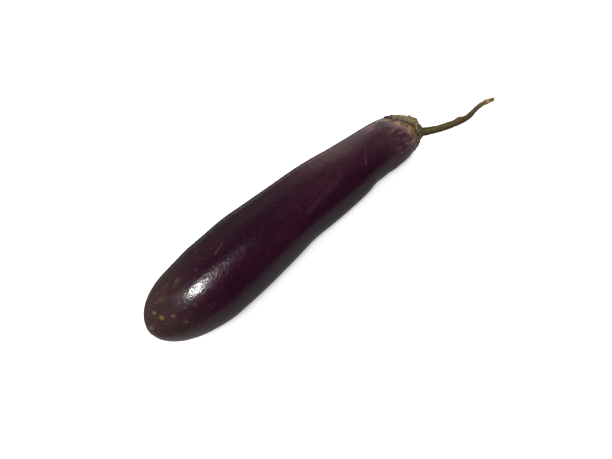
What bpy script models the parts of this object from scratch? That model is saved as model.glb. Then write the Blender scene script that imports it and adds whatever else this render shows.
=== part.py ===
"""A long, slender eggplant with its calyx and stem, lying on its side.

Run it with blender --background --python part.py, or from Blender's text editor.
Sizes below are in millimetres and the model is in metres, +Z up. +X runs from the
blossom end to the stem. The origin is the middle of the underside of the whole
part's box, on the surface that the eggplant lies on.

The fruit is a curved, tapering body: a round section carried along a bent centre
line. The calyx is a cap that follows the fruit's shoulder with a small gap and ends
in lobes. The stem is a tapering, crooked rod that starts on the calyx's collar.
"""

import math

import bmesh
import bpy
import numpy as np

MM = 0.001
SMALL_STEP = 1e-4  # a share of a line's run, for finding which way the line heads
SHARP_ANGLE = 40.0  # degrees; edges that turn more are shaded sharp
CUT_TOLERANCE = 1e-4  # points this near the flat spot are taken as on it

# Fruit. A spot is the share of the centre line's run, 0 at the blossom end, 1 at the crown.
CENTRE_SPOTS = (0.0, 0.25, 0.5, 0.75, 0.9, 1.0)
CENTRE_LINE = (
    (-129.0, 0.0, 33.5),
    (-64.5, 1.5, 30.0),
    (0.0, 6.0, 26.1),
    (64.5, 4.5, 22.75),
    (95.0, 1.0, 21.5),
    (115.5, -8.0, 18.5),
)
RADIUS_SPOTS = (0.0, 0.2, 0.35, 0.5, 0.65, 0.8, 0.92, 1.0)
RADII = (29.5, 29.0, 28.75, 26.25, 24.0, 20.5, 19.0, 17.5)
BLOSSOM_ROUND = (0.22, 2.1)  # share of the run that rounds off, and how squarely
CROWN_ROUND = (0.117, 2.13)
FLAT_DEPTH = 0.5  # the fruit is flattened this far where it lies
FRUIT_RINGS = 46
FRUIT_SIDES = 32

# Calyx. Angles are in degrees round the crown, from +Y over the top.
GAP = 0.35
CAP_REACH = 7.0
RIM_THICKNESS = 0.6
LEAF_THICKNESS = 1.0
FLESH_THICKNESS = 2.4
FLESH_MIDDLE = 9.0  # distance from the crown where the cap is thickest
FLESH_SPREAD = 7.0
FLESH_WIDTH = 1.8  # times a lobe's own half width
RIM_START = 0.7  # share of the reach where the cap starts to thin
LOBES = (  # angle, reach from the crown along the skin, half width in degrees, plumpness
    (57.0, 31.0, 26.0, 1.0),
    (118.0, 9.0, 20.0, 0.1),
    (178.0, 8.5, 20.0, 0.0),
    (232.0, 17.0, 21.0, 0.35),
    (292.0, 24.0, 20.0, 0.6),
    (345.0, 27.0, 22.0, 0.8),
    (325.0, 12.5, 115.0, 0.4),
)
COLLAR_PROFILE = ((3.8, 5.0), (4.15, 4.6), (4.6, 3.2), (5.5, 2.0))  # radius, height on the crown
CAP_START = 6.2  # distance from the crown where the cap leaves the collar
SHOULDER_SPOTS = (1.0, 0.7)  # the stretch of the fruit that the calyx may cover
SHOULDER_SAMPLES = 600
CALYX_SIDES = 96
CALYX_RINGS = 9

# Stem: its own centre line, and the radius at shares of its length.
STEM_LINE = (
    (129.5, -16.0, 15.5),
    (141.5, -21.0, 14.0),
    (153.0, -24.0, 13.5),
    (163.0, -23.5, 14.0),
    (171.0, -24.0, 13.0),
    (178.0, -25.5, 11.5),
)
STEM_SPOTS = (0.0, 0.08, 0.3, 0.52, 0.6, 0.68, 0.82, 0.9, 0.94, 1.0)
STEM_RADII = (3.4, 3.0, 2.75, 2.3, 2.75, 2.0, 1.75, 2.1, 1.7, 1.3)
STEM_EASE = 0.08  # share of the length over which the stem leaves the collar's own direction
STEM_RINGS = 30
STEM_SIDES = 12

FINISHES = {  # colour, roughness
    "fruit": ((0.050, 0.014, 0.028), 0.32),
    "calyx": ((0.140, 0.105, 0.045), 0.70),
    "stem": ((0.120, 0.095, 0.045), 0.75),
}


def clear_scene():
    """Take away every object that is in the scene."""
    for item in list(bpy.data.objects):
        bpy.data.objects.remove(item)


def spline(spots, values, at):
    """Natural cubic curve through values at spots, read at the places in at."""
    spots, values, at = (np.asarray(given, float) for given in (spots, values, at))
    rows = values.reshape(len(spots), -1)
    step = np.diff(spots)
    slope = np.diff(rows, axis=0) / step[:, None]
    system = np.eye(len(spots))
    turning = np.zeros_like(rows)
    for i in range(1, len(spots) - 1):
        system[i, i - 1 : i + 2] = (step[i - 1], 2 * (step[i - 1] + step[i]), step[i])
        turning[i] = 6 * (slope[i] - slope[i - 1])
    bends = np.linalg.solve(system, turning)
    left = np.clip(np.searchsorted(spots, at) - 1, 0, len(spots) - 2)
    width = step[left][..., None]
    share = (at - spots[left])[..., None] / width
    rest = 1 - share
    straight = rest * rows[left] + share * rows[left + 1]
    bent = (rest**3 - rest) * bends[left] + (share**3 - share) * bends[left + 1]
    return (straight + bent * width**2 / 6).reshape(at.shape + values.shape[1:])


def unit(vectors):
    """The same directions, one long."""
    return vectors / np.linalg.norm(vectors, axis=-1, keepdims=True)


def across(forward):
    """The level sideways and the upward directions square to forward directions."""
    sideways = unit(np.cross((0.0, 0.0, 1.0), forward))
    return sideways, np.cross(forward, sideways)


def line_and_heading(line_spots, points, at):
    """Points on a smooth line through the given ones, and which way it heads there."""
    behind, here, ahead = (
        spline(line_spots, points, at + offset) for offset in (-SMALL_STEP, 0.0, SMALL_STEP)
    )
    return here, unit(ahead - behind)


def centre_frame(spots):
    """The fruit's centre line at spots, with its forward, sideways and upward directions."""
    line, forward = line_and_heading(CENTRE_SPOTS, CENTRE_LINE, spots)
    return (line, forward, *across(forward))


def crown_frame():
    """The crown's middle point, with its forward, sideways and upward directions."""
    return (rows[0] for rows in centre_frame(np.array([1.0])))


def rounding(inward, share, squareness):
    """A superellipse's height from 0 at an end to 1 where the rounded share stops."""
    left = np.clip(1 - inward / share, 0, 1)
    return (1 - left**squareness) ** (1 / squareness)


def fruit_radius(spots):
    """The fruit's radius at spots: a smooth taper with both ends rounded off."""
    taper = spline(RADIUS_SPOTS, RADII, spots)
    return taper * rounding(spots, *BLOSSOM_ROUND) * rounding(1 - spots, *CROWN_ROUND)


def outward(sideways, upward, angles):
    """Directions at angles that start sideways and turn over the top."""
    return np.cos(angles) * sideways + np.sin(angles) * upward


def turn(sides):
    """Evenly spaced angles all the way round, as a column."""
    return (np.arange(sides) * 2 * math.pi / sides)[:, None]


def skin_rings(rings, first_pole, last_pole):
    """One closed mesh: quads between neighbouring rings, and a fan to a pole at each end."""
    mesh = bmesh.new()
    loops = [[mesh.verts.new(point) for point in points] for points in rings]
    sides = len(loops[0])
    for near, far in zip(loops, loops[1:]):
        for i in range(sides):
            j = (i + 1) % sides
            mesh.faces.new((near[i], near[j], far[j], far[i]))
    for pole, loop, flip in ((first_pole, loops[0], True), (last_pole, loops[-1], False)):
        tip = mesh.verts.new(pole)
        for i in range(sides):
            pair = (loop[i], loop[(i + 1) % sides])
            mesh.faces.new((*(reversed(pair) if flip else pair), tip))
    bmesh.ops.recalc_face_normals(mesh, faces=mesh.faces)
    return mesh


def flatten_underside(mesh, height):
    """Cut the body off level at a height and close it with a flat face."""
    everything = list(mesh.verts) + list(mesh.edges) + list(mesh.faces)
    plane = {"plane_co": (0, 0, height), "plane_no": (0, 0, -1)}
    bmesh.ops.bisect_plane(mesh, geom=everything, dist=CUT_TOLERANCE, clear_outer=True, **plane)
    rim = [edge for edge in mesh.edges if edge.is_boundary]
    bmesh.ops.holes_fill(mesh, edges=rim, sides=0)
    bmesh.ops.recalc_face_normals(mesh, faces=mesh.faces)


def add_object(name, mesh, parent):
    """Turn a mesh in millimetres into a named, smooth shaded object with its own material."""
    colour, roughness = FINISHES[name]
    material = bpy.data.materials.new(name)
    material.use_nodes = True
    shader = material.node_tree.nodes["Principled BSDF"]
    shader.inputs["Base Color"].default_value = (*colour, 1.0)
    shader.inputs["Roughness"].default_value = roughness
    shader.inputs["Metallic"].default_value = 0.0
    bmesh.ops.scale(mesh, vec=(MM, MM, MM), verts=mesh.verts)
    data = bpy.data.meshes.new(name)
    mesh.to_mesh(data)
    mesh.free()
    data.shade_smooth()
    data.set_sharp_from_angle(angle=math.radians(SHARP_ANGLE))
    data.materials.append(material)
    item = bpy.data.objects.new(name, data)
    item.parent = parent
    bpy.context.scene.collection.objects.link(item)
    return item


def build_fruit(parent):
    """The fruit: round rings along the bent centre line, flattened where it lies."""
    inner = (np.arange(FRUIT_RINGS) + 1) / (FRUIT_RINGS + 1)
    spots = 0.5 - 0.5 * np.cos(math.pi * inner)
    line, _, sideways, upward = centre_frame(spots)
    angles = turn(FRUIT_SIDES) + math.pi / FRUIT_SIDES
    rings = [
        line[i] + radius * outward(sideways[i], upward[i], angles)
        for i, radius in enumerate(fruit_radius(spots))
    ]
    mesh = skin_rings(rings, CENTRE_LINE[0], CENTRE_LINE[-1])
    flatten_underside(mesh, min(vertex.co.z for vertex in mesh.verts) + FLAT_DEPTH)
    return add_object("fruit", mesh, parent)


def shoulder(distance, angles, lift):
    """Points over the fruit's shoulder: a distance from the crown along the skin, and a height."""
    samples = np.linspace(*SHOULDER_SPOTS, SHOULDER_SAMPLES)
    radius = fruit_radius(samples)
    along = np.linalg.norm(np.diff(centre_frame(samples)[0], axis=0), axis=1)
    walked = np.concatenate(([0.0], np.cumsum(np.hypot(along, np.diff(radius)))))
    widening = np.clip(np.gradient(radius, walked), 0.0, 1.0)
    spots = np.interp(distance, walked, samples)
    rise = np.interp(distance, walked, widening)[:, None]
    line, forward, sideways, upward = centre_frame(spots)
    away = outward(sideways, upward, angles)
    normal = unit(away * np.sqrt(1 - rise**2) + forward * rise)
    return line + away * fruit_radius(spots)[:, None] + normal * lift[:, None]


def lobe_share(angles, middle, half_width):
    """1 in the middle of a lobe, falling to 0 at its edges."""
    away = (np.degrees(angles) - middle + 180) % 360 - 180
    return np.clip(1 - (away / half_width) ** 2, 0, 1)


def calyx_reach(angles):
    """How far the calyx runs from the crown along the skin at each angle."""
    reach = np.full_like(angles, CAP_REACH)
    for middle, length, half_width, _ in LOBES:
        share = lobe_share(angles, middle, half_width)
        reach = np.maximum(reach, CAP_REACH + (length - CAP_REACH) * share)
    return reach


def calyx_thickness(distance, angles, share):
    """Thick and fleshy near the collar behind a plump lobe, thin at the rim."""
    plump = np.zeros_like(angles)
    for middle, _, half_width, amount in LOBES:
        share_of_lobe = lobe_share(angles, middle, FLESH_WIDTH * half_width)
        plump = np.maximum(plump, amount * share_of_lobe)
    near = np.exp(-(((distance - FLESH_MIDDLE) / FLESH_SPREAD) ** 2))
    full = LEAF_THICKNESS + FLESH_THICKNESS * plump * near
    thinning = np.clip((share - RIM_START) / (1 - RIM_START), 0, 1) ** 2
    return full + (RIM_THICKNESS - full) * thinning


def build_calyx(parent):
    """The calyx: a collar for the stem that widens into a lobed cap over the shoulder."""
    angles = turn(CALYX_SIDES)
    gap = np.full(CALYX_SIDES, GAP)
    reach = calyx_reach(angles[:, 0])
    crown, axis, sideways, upward = crown_frame()
    rings = [
        crown + axis * height + radius * outward(sideways, upward, angles)
        for radius, height in COLLAR_PROFILE
    ]
    shares = np.linspace(0, 1, CALYX_RINGS)
    distances = [CAP_START + (reach - CAP_START) * share for share in shares]
    for share, distance in zip(shares, distances):
        thickness = calyx_thickness(distance, angles[:, 0], share)
        rings.append(shoulder(distance, angles, GAP + thickness))
    for distance in reversed(distances):
        rings.append(shoulder(distance, angles, gap))
    rings.append(shoulder(np.full(CALYX_SIDES, CAP_START / 2), angles, gap))
    top = crown + axis * COLLAR_PROFILE[0][1]
    return add_object("calyx", skin_rings(rings, top, crown + axis * GAP), parent)


def build_stem(parent):
    """The stem: a tapering rod with a swollen joint and a torn end, along its crooked line."""
    crown, axis, _, _ = crown_frame()
    route = np.vstack((crown + axis * (COLLAR_PROFILE[0][1] + GAP), STEM_LINE))
    legs = np.linalg.norm(np.diff(route, axis=0), axis=1)
    places = np.concatenate(([0.0], np.cumsum(legs))) / legs.sum()
    spots = np.linspace(0, 1, STEM_RINGS)
    line, heading = line_and_heading(places, route, spots)
    own_way = np.clip(spots / STEM_EASE, 0, 1)[:, None]
    sideways, upward = across(unit(heading * own_way + axis * (1 - own_way)))
    angles = turn(STEM_SIDES)
    rings = [
        line[i] + radius * outward(sideways[i], upward[i], angles)
        for i, radius in enumerate(np.interp(spots, STEM_SPOTS, STEM_RADII))
    ]
    return add_object("stem", skin_rings(rings, line[0], line[-1]), parent)


def set_on_origin(parent, items):
    """Move the part so that its box's bottom middle is the origin."""
    bpy.context.view_layer.update()
    corners = np.array([tuple(vertex.co) for item in items for vertex in item.data.vertices])
    low, high = corners.min(0), corners.max(0)
    parent.location = (-(low[0] + high[0]) / 2, -(low[1] + high[1]) / 2, -low[2])


def main():
    clear_scene()
    eggplant = bpy.data.objects.new("eggplant", None)
    bpy.context.scene.collection.objects.link(eggplant)
    items = [build(eggplant) for build in (build_fruit, build_calyx, build_stem)]
    set_on_origin(eggplant, items)


main()
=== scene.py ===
"""A long, slender eggplant: its skin, calyx and stem, lying on a plain pale stage.

The shapes follow the construction's centre lines and widths, and add what grew on them:
lumps, ribs, the blossom scar, dried lobe tips, bark ridges and a torn stem end. They are
worked out in millimetres in the construction's own place, and frame_shift() moves them to
where the frame has the fruit.
"""

import functools
import math
from types import SimpleNamespace

import bpy
import numpy as np
from bpy.props import FloatProperty, FloatVectorProperty, PointerProperty
from mathutils import Matrix, Vector


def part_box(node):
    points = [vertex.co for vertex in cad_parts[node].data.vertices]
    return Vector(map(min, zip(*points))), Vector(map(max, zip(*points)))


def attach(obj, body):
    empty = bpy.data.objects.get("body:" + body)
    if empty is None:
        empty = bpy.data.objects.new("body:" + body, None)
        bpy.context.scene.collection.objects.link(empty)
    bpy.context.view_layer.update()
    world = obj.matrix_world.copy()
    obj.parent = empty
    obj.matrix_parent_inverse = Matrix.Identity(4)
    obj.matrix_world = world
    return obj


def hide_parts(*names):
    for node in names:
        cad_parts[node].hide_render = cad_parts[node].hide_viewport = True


bl_info = {
    "name": "Eggplant",
    "version": (1, 0, 0),
    "blender": (4, 5, 0),
    "location": "View3D > Sidebar > Eggplant",
    "description": "Builds the skin, calyx and stem of a long eggplant on its packed frame",
    "category": "Add Mesh",
}

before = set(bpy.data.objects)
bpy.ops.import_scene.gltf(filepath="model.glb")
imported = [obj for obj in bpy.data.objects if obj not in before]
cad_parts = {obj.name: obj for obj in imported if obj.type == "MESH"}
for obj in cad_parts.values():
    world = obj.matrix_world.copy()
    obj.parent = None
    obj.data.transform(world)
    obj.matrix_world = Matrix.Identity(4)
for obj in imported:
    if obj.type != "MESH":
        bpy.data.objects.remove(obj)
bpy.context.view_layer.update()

MM = 0.001
SMALL_STEP = 1e-4  # a share of a line's run, for finding which way the line heads

# Fruit. A spot is the share of the centre line's run, 0 at the blossom end, 1 at the crown.
CENTRE_SPOTS = (0.0, 0.25, 0.5, 0.75, 0.9, 1.0)
CENTRE_LINE = (
    (-129.0, 0.0, 33.5),
    (-64.5, 1.5, 30.0),
    (0.0, 6.0, 26.1),
    (64.5, 4.5, 22.75),
    (95.0, 1.0, 21.5),
    (115.5, -8.0, 18.5),
)
RADIUS_SPOTS = (0.0, 0.2, 0.35, 0.5, 0.65, 0.8, 0.92, 1.0)
RADII = (29.5, 29.0, 28.75, 26.25, 24.0, 20.5, 19.0, 17.5)
BLOSSOM_ROUND = (0.22, 2.1)  # share of the run that rounds off, and how squarely
CROWN_ROUND = (0.117, 2.13)
FRUIT_RINGS = 380
FRUIT_SIDES = 240
SURFACE_SAMPLES = 4000
BOX_RINGS = 300  # rings of the plain body that are held against the CAD's box
LUMPS = (  # spot, angle in degrees, length as a share, width in degrees, height
    (0.155, 48.0, 0.050, 40.0, -0.90),
    (0.335, 48.0, 0.045, 40.0, 0.55),
    (0.580, 48.0, 0.050, 35.0, 0.30),
    (0.690, 48.0, 0.045, 35.0, -0.35),
    (0.200, 218.0, 0.060, 40.0, 0.50),
    (0.360, 218.0, 0.050, 40.0, -0.40),
    (0.500, 218.0, 0.045, 40.0, -0.35),
    (0.580, 218.0, 0.045, 40.0, 0.20),
    (0.755, 214.0, 0.030, 35.0, -1.00),
    (0.860, 218.0, 0.035, 35.0, 0.80),
    (0.965, 215.0, 0.015, 35.0, -0.60),
    (0.985, 198.0, 0.013, 55.0, -1.20),
)
SWELL = ((70.0, 0.14, 1), (24.0, 0.03, 2), (8.0, 0.012, 3), (3.2, 0.006, 4))  # length, height, seed
WAVES = 24
SHOULDER_RIB_HEIGHT = 0.12
SHOULDER_RIB_FADE = 26.0  # distance from the crown over which the ribs die away
SHOULDER_WAVES = ((13, 0.8, 1.0), (21, 2.0, 0.6), (8, 0.0, 0.5))  # how many round, phase, height
SCAR_RING = (3.4, 1.0, 0.28)  # distance from the blossom pole, width, height
SCAR_PIT = (2.0, 0.75)  # width, depth
POLE_EASE = 3.0  # distance from a pole over which the unevenness starts
REST_BLEND = 0.04  # how gently the skin turns flat where it meets the floor

# Calyx. Angles are in degrees round the crown, from +Y over the top.
GAP = 0.2
CAP_REACH = 9.0
LOBES = (  # angle, reach from the crown along the skin, half width, squareness, plumpness, curl
    (64.0, 31.5, 39.0, 2.4, 1.0, 0.0),
    (124.0, 13.6, 26.0, 2.0, 0.25, 0.0),
    (168.0, 13.4, 20.0, 2.0, 0.05, 0.0),
    (250.0, 17.0, 20.0, 2.0, 0.25, 0.3),
    (292.0, 26.0, 22.0, 2.0, 0.60, 1.6),
    (345.0, 28.0, 23.0, 2.0, 0.80, 0.8),
    (94.0, 15.5, 19.0, 2.0, 0.70, 0.0),
    (87.0, 29.0, 4.0, 2.0, 0.10, 0.0),
    (94.0, 24.0, 4.5, 2.0, 0.10, 0.0),
    (101.0, 18.0, 5.0, 2.0, 0.10, 0.0),
    (325.0, 13.5, 80.0, 2.0, 0.40, 0.0),
)
TRUE_LOBES = 6  # the other rows are the skirt between them and the long lobe's ragged side
RIBS = (  # angle, width in degrees, height, and the distances from the crown where it starts and ends
    (80.0, 3.0, 0.62, 9.0, 27.0),
    (89.0, 2.2, 0.42, 9.0, 25.0),
    (96.5, 2.2, 0.60, 8.0, 20.0),
    (104.0, 3.2, 0.50, 6.0, 14.0),
    (114.0, 3.2, 0.35, 6.0, 11.5),
    (70.0, 3.0, 0.20, 10.0, 27.0),
    (58.0, 4.0, 0.14, 10.0, 30.0),
    (43.0, 4.0, 0.14, 9.0, 25.0),
    (124.0, 5.0, 0.25, 7.0, 11.0),
    (250.0, 3.5, 0.35, 8.0, 17.0),
    (292.0, 3.5, 0.50, 8.0, 25.0),
    (301.0, 2.6, 0.25, 9.0, 20.0),
    (284.0, 2.6, 0.25, 9.0, 20.0),
    (345.0, 3.5, 0.50, 8.0, 27.0),
    (356.0, 2.6, 0.25, 9.0, 21.0),
    (334.0, 2.6, 0.25, 9.0, 21.0),
)
CALYX_SIDES = 600
CALYX_RINGS = 56
EDGE_WAVES = ((23, 0.4, 1.0), (37, 1.9, 0.7), (61, 0.0, 0.5))  # how many round, phase, height
EDGE_HEIGHT = 0.018  # of the ragged edge, as a share of the reach
VEIN_WAVES = ((14, 1.0, 0.5), (23, 2.1, 0.3), (37, 0.5, 0.2))
FRESH_STRIP = (81.0, 9.0)  # angle and half width of the strip down the long lobe that stays green
PINCH = 0.12  # how far the lines down a lobe draw together
PLACE_RADIUS = 12.0  # how far round its own pattern a place on the cap lies
CREASE = (2.6, 0.20, 0.28, 14.0)  # length, height, more height at dried tips, pattern's radius
CREASE_SEED = 11
VEIN_SHARE = 0.4  # of the veins beside the ribs
FLUTTER = 0.12  # the rim's even wave
COLLAR_VEIN = 0.035  # height of the veins round the collar, as a share of its radius
RIM_LIFT = (127.0, 32.0, 1.0)  # angle, half width and height of the rim that stands clear
RIM_THICKNESS = 0.45
LEAF_THICKNESS = 0.55
PLUMP_THICKNESS = 0.3
FLESH_THICKNESS = 2.3
FLESH_MIDDLE = 10.5
FLESH_SPREAD = 6.8
FLESH_WIDTH = 1.5  # times a lobe's own half width
# The collar's rings, from the stem outwards.
COLLAR_RADII = (1.6, 3.1, 3.7, 4.00, 4.20, 4.45, 4.75, 5.1)
COLLAR_HEIGHTS = (2.3, 2.6, 2.85, 2.75, 2.55, 2.35, 2.2, 2.0)
COLLAR_LEAN = (55.0, 1.2)  # the collar's foot sits a little to one side: angle, distance
CAP_START = 6.2  # distance from the crown where the cap meets the collar

# Stem: its own centre line, and the radius at shares of its length.
STEM_FOOT = 2.2  # height on the crown, a little inside the collar
STEM_LINE = (
    (129.5, -16.0, 15.5),
    (141.5, -21.0, 14.0),
    (153.0, -24.0, 13.5),
    (163.0, -23.5, 14.0),
    (171.0, -24.0, 13.0),
    (178.0, -25.5, 11.5),
)
STEM_SPOTS = (0.0, 0.03, 0.08, 0.20, 0.36, 0.50, 0.60, 0.68, 0.82, 0.87, 0.90, 0.925, 0.95, 0.975, 1.0)
STEM_RADII = (3.4, 3.35, 3.00, 2.66, 2.82, 2.45, 1.98, 1.84, 1.80, 1.90, 2.15, 1.85, 1.60, 1.45, 1.25)
BUD = (0.475, 0.040, 85.0, 50.0, 1.30)  # share, length as a share, angle, width in degrees, height
KNOB = (0.90, 0.014, 0.30)  # share, length as a share, height
STEM_EASE = 0.08  # share of the length over which it leaves the crown's heading for its own
STEM_LENGTH = 66.0
STEM_TWIST = 0.9  # how far its ridges turn along it, in radians
RIDGE_WAVES = ((5, 0.6, 0.6), (8, 2.0, 0.4), (13, 0.0, 0.25))
FRAY_WAVES = ((3, 1.0, 0.22), (7, 0.0, 0.16))  # round the torn end
PULL_WAVES = ((5, 0.3, 0.5), (3, 0.0, 0.4))  # along the torn end
KNOTS = (5.0, 0.10, 21)  # length, height, seed
STEM_RINGS = 420
STEM_SIDES = 96

# Marks on the skin, each a short line with soft edges: distance from the blossom pole along the
# skin and angle at one end, the same at the other end, half width, strength.
MARKS = {
    "lime": (
        (23.6, 109.0, 24.6, 111.0, 1.7, 0.60), (26.2, 126.0, 26.8, 128.0, 2.0, 0.85),
        (11.5, 124.0, 14.0, 128.0, 2.0, 0.55), (48.5, 99.5, 49.8, 100.0, 1.3, 0.23),
        (24.0, 250.0, 25.0, 253.0, 1.8, 0.60), (19.0, 300.0, 21.0, 302.0, 1.7, 0.60),
        (29.0, 20.0, 30.0, 23.0, 1.7, 0.60),
    ),
    "tan": (
        (33.2, 136.0, 33.8, 137.0, 1.5, 0.55), (42.5, 137.0, 43.0, 137.6, 1.2, 0.26),
        (48.6, 142.0, 49.0, 142.6, 1.4, 0.22), (30.0, 330.0, 31.0, 332.0, 1.8, 0.5),
        # The second mark on the next line, wide and faint, is a painted sheen beside the highlight, not
        # cork.
        (38.0, 200.0, 39.0, 202.0, 1.5, 0.30), (43.0, 118.0, 47.0, 121.0, 4.0, 0.13),
    ),
    "olive": (
        (36.8, 154.0, 37.8, 154.4, 1.5, 0.52), (33.0, 103.0, 36.0, 105.0, 3.0, 0.28),
        (46.0, 103.0, 51.0, 101.0, 2.0, 0.20), (31.0, 60.0, 34.0, 62.0, 2.4, 0.35),
        (41.0, 92.0, 43.0, 93.0, 2.2, 0.16),
    ),
}
SCRATCHES = (
    (211.0, 118.0, 206.5, 132.0, 0.55, 0.12),
    (206.5, 132.0, 203.2, 146.0, 0.75, 0.28),
    (87.0, 101.0, 78.0, 108.5, 0.75, 0.20),
    (182.0, 134.5, 162.0, 142.5, 2.8, 0.038),
    (162.0, 142.5, 145.9, 149.0, 2.6, 0.060),
    (120.0, 300.0, 131.0, 322.0, 0.6, 0.35),
)
SHOULDER_SCARS = (  # the same, but with distances from the crown
    (25.5, 101.0, 22.5, 104.5, 3.0, 0.90),
    (22.5, 104.5, 18.5, 112.0, 2.8, 0.90),
    (19.0, 117.0, 19.2, 128.0, 1.3, 0.70),
    (36.0, 66.0, 31.5, 80.0, 2.6, 0.38),
    (27.0, 200.0, 22.0, 203.0, 1.8, 0.50),
    (30.0, 268.0, 25.0, 262.0, 1.8, 0.60),
)
BLUSH = (  # pinkish skin beside the scars
    (24.5, 110.0, 21.5, 118.0, 3.6, 0.78),
    (29.0, 99.0, 26.0, 107.0, 3.0, 0.66),
)
SCAR_CORES = (  # dark sores in the scars
    (23.4, 102.0, 21.6, 105.0, 2.7, 1.00),
    (20.6, 107.5, 19.6, 110.0, 2.4, 1.00),
    (17.2, 127.0, 15.8, 146.0, 1.4, 0.65),
)
PALE_SPANS = ((134.0, 38.0, 22.0), (285.0, 60.0, 30.0))  # angle, where pale skin stops, and is full

# Directions square to the straight-grown fruit, which tints spread towards.
FAR_WAY = (0.0, 0.60, 0.80)
UPPER_WAY = (0.0, 0.26, 0.97)
EDGE_WAY = (0.0, 0.64, 0.77)
FRONT_WAY = (0.0, -0.80, 0.60)

# Tints that aren't settings: the skin's, the cap's and the stem's, with painted shade, light and sheen
# among them.
# Painted shade: the far side of the blossom half.
FAR_SIDE_PAINTED_SHADE = (0.0160, 0.0085, 0.0085)
# Partly the tip's own browner tone, partly painted light on its side towards the key lamp.
TIP_TONE_AND_PAINTED_LIGHT = (0.061, 0.0340, 0.0315)
# Painted light: the upper half towards the crown.
UPPER_PAINTED_LIGHT = (0.064, 0.0230, 0.0320)
# Painted sheen: the far edge towards the crown.
FAR_EDGE_PAINTED_SHEEN = (0.110, 0.060, 0.062)
RED_FLECK = (0.090, 0.030, 0.040)
CROWN_SKIN = (0.078, 0.0400, 0.0445)
PORE = (0.150, 0.075, 0.075)
OLIVE_MARK = (0.120, 0.088, 0.030)
SCRATCHED = (0.24, 0.115, 0.135)
PINK_RAY = (0.280, 0.150, 0.168)
DARK_RAY = (0.018, 0.006, 0.010)
BROWN_STREAK = (0.135, 0.066, 0.024)
BLUSH_PINK = (0.200, 0.105, 0.125)
SCAR_CORK = (0.430, 0.265, 0.112)
SCAR_CORE = (0.085, 0.035, 0.009)
# Painted shade: round the top of the collar, where the stem stands.
COLLAR_TOP_PAINTED_SHADE = (0.085, 0.052, 0.034)
# Painted shade: the grooves between the cap's ribs.
CAP_GROOVE_PAINTED_SHADE = (0.050, 0.034, 0.015)
CAP_FIBRE = (0.060, 0.040, 0.018)
CAP_BLOTCH = (0.072, 0.044, 0.014)
STEM_RIDGE = (0.20, 0.150, 0.055)
# Painted shade: the grooves between the stem's ridges.
STEM_GROOVE_PAINTED_SHADE = (0.034, 0.023, 0.009)
STEM_FIBRE = (0.034, 0.022, 0.009)
STEM_BASE = (0.070, 0.040, 0.028)
# Painted shade: a band on the stem just past the bud.
PAST_BUD_PAINTED_SHADE = (0.050, 0.032, 0.018)
STEM_PALE = (0.285, 0.205, 0.088)
TORN_TIP = (0.150, 0.105, 0.050)

# Stage. Azimuth 0 is +X and 90 is +Y, and the angles are in degrees.
CAMERA_AIM = (-2.74, -15.63, 27.0)
CAMERA_DISTANCE = 325.56
CAMERA_AZIMUTH = -103.69
CAMERA_ELEVATION = 48.79
CAMERA_ROLL = -30.13
LAMP_AIM = (-86.0, -17.0, 53.0)
LAMP_DISTANCE = 1300.0
LAMP_STEP = 10.0  # each lamp stands a little behind the last
LAMPS = (  # azimuth, elevation, width, height, share of the key's power, if it lights dull things
    (-110.0, 56.0, 160.0, 235.0, 1.0, True),
    (-110.0, 56.0, 95.0, 160.0, 1.0, False),
    (-97.5, 56.8, 270.0, 380.0, 0.46, False),
    (-82.0, 59.5, 300.0, 340.0, 0.045, False),
    (-116.0, 56.0, 1300.0, 1000.0, 0.26, False),
)
BRIGHT_SIDE = (0.875, 0.408, 0.259)  # where gloss sees a bright wall
SKY_SIDE = (0.0, 0.6, 0.8)  # where most of the even light comes from
FLOOR_HALF = 6.0
FLOOR_DROP = 0.0001
FLOOR_GLOW = 0.55
FLOOR_BOUNCE = 0.25  # share of the floor's light that reaches dull things
FLOOR_MIRRORED = (0.44, 0.03, 0.10, 0.85)  # what gloss sees: close by, beyond, behind, far out


# ---------------------------------------------------------------- settings


def tint(name, description, default):
    """A colour that a user may change."""
    return FloatVectorProperty(name=name, description=description, subtype="COLOR", default=default)


class SkinSettings(bpy.types.PropertyGroup):
    """What a user may change on the skin."""

    deep: tint("Deep purple", "Most of the skin", (0.0185, 0.0028, 0.0115))
    warm: tint("Warm purple", "Redder stretches", (0.0345, 0.0058, 0.0170))
    violet: tint("Violet", "Bluer patches", (0.0235, 0.0030, 0.0165))
    shaded: tint("Shaded skin", "Pale skin that the calyx had covered", (0.290, 0.180, 0.078))
    lime: tint("Green freckles", "Freckles round the blossom end", (0.21, 0.17, 0.045))
    tan: tint("Cork", "Scars and pale freckles", (0.23, 0.125, 0.095))
    roughness: FloatProperty(
        name="Roughness", description="How dull the wax on the skin is", default=0.16, min=0.0, max=1.0,
        subtype="FACTOR",
    )
    unevenness: FloatProperty(
        name="Unevenness", description="Times the skin's natural swell", default=1.0, min=0.0, max=3.0,
        subtype="FACTOR",
    )


class CalyxSettings(bpy.types.PropertyGroup):
    """What a user may change on the calyx."""

    green: tint("Green", "The cap round the collar", (0.198, 0.155, 0.066))
    # Partly the ribs' own paler green, partly a painted highlight on their tops.
    crest_and_highlight: tint("Crest", "The tops of the ribs", (0.370, 0.298, 0.126))
    brown: tint("Brown", "Flanks that have dried", (0.235, 0.145, 0.088))
    collar: tint("Collar", "The neck that holds the stem", (0.110, 0.092, 0.038))
    dead: tint("Dead tips", "Lobe tips and grooves", (0.045, 0.031, 0.020))
    rib_height: FloatProperty(
        name="Rib height", description="Height of the veins", default=0.00030, min=0.0, max=0.001,
        unit="LENGTH",
    )


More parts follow.
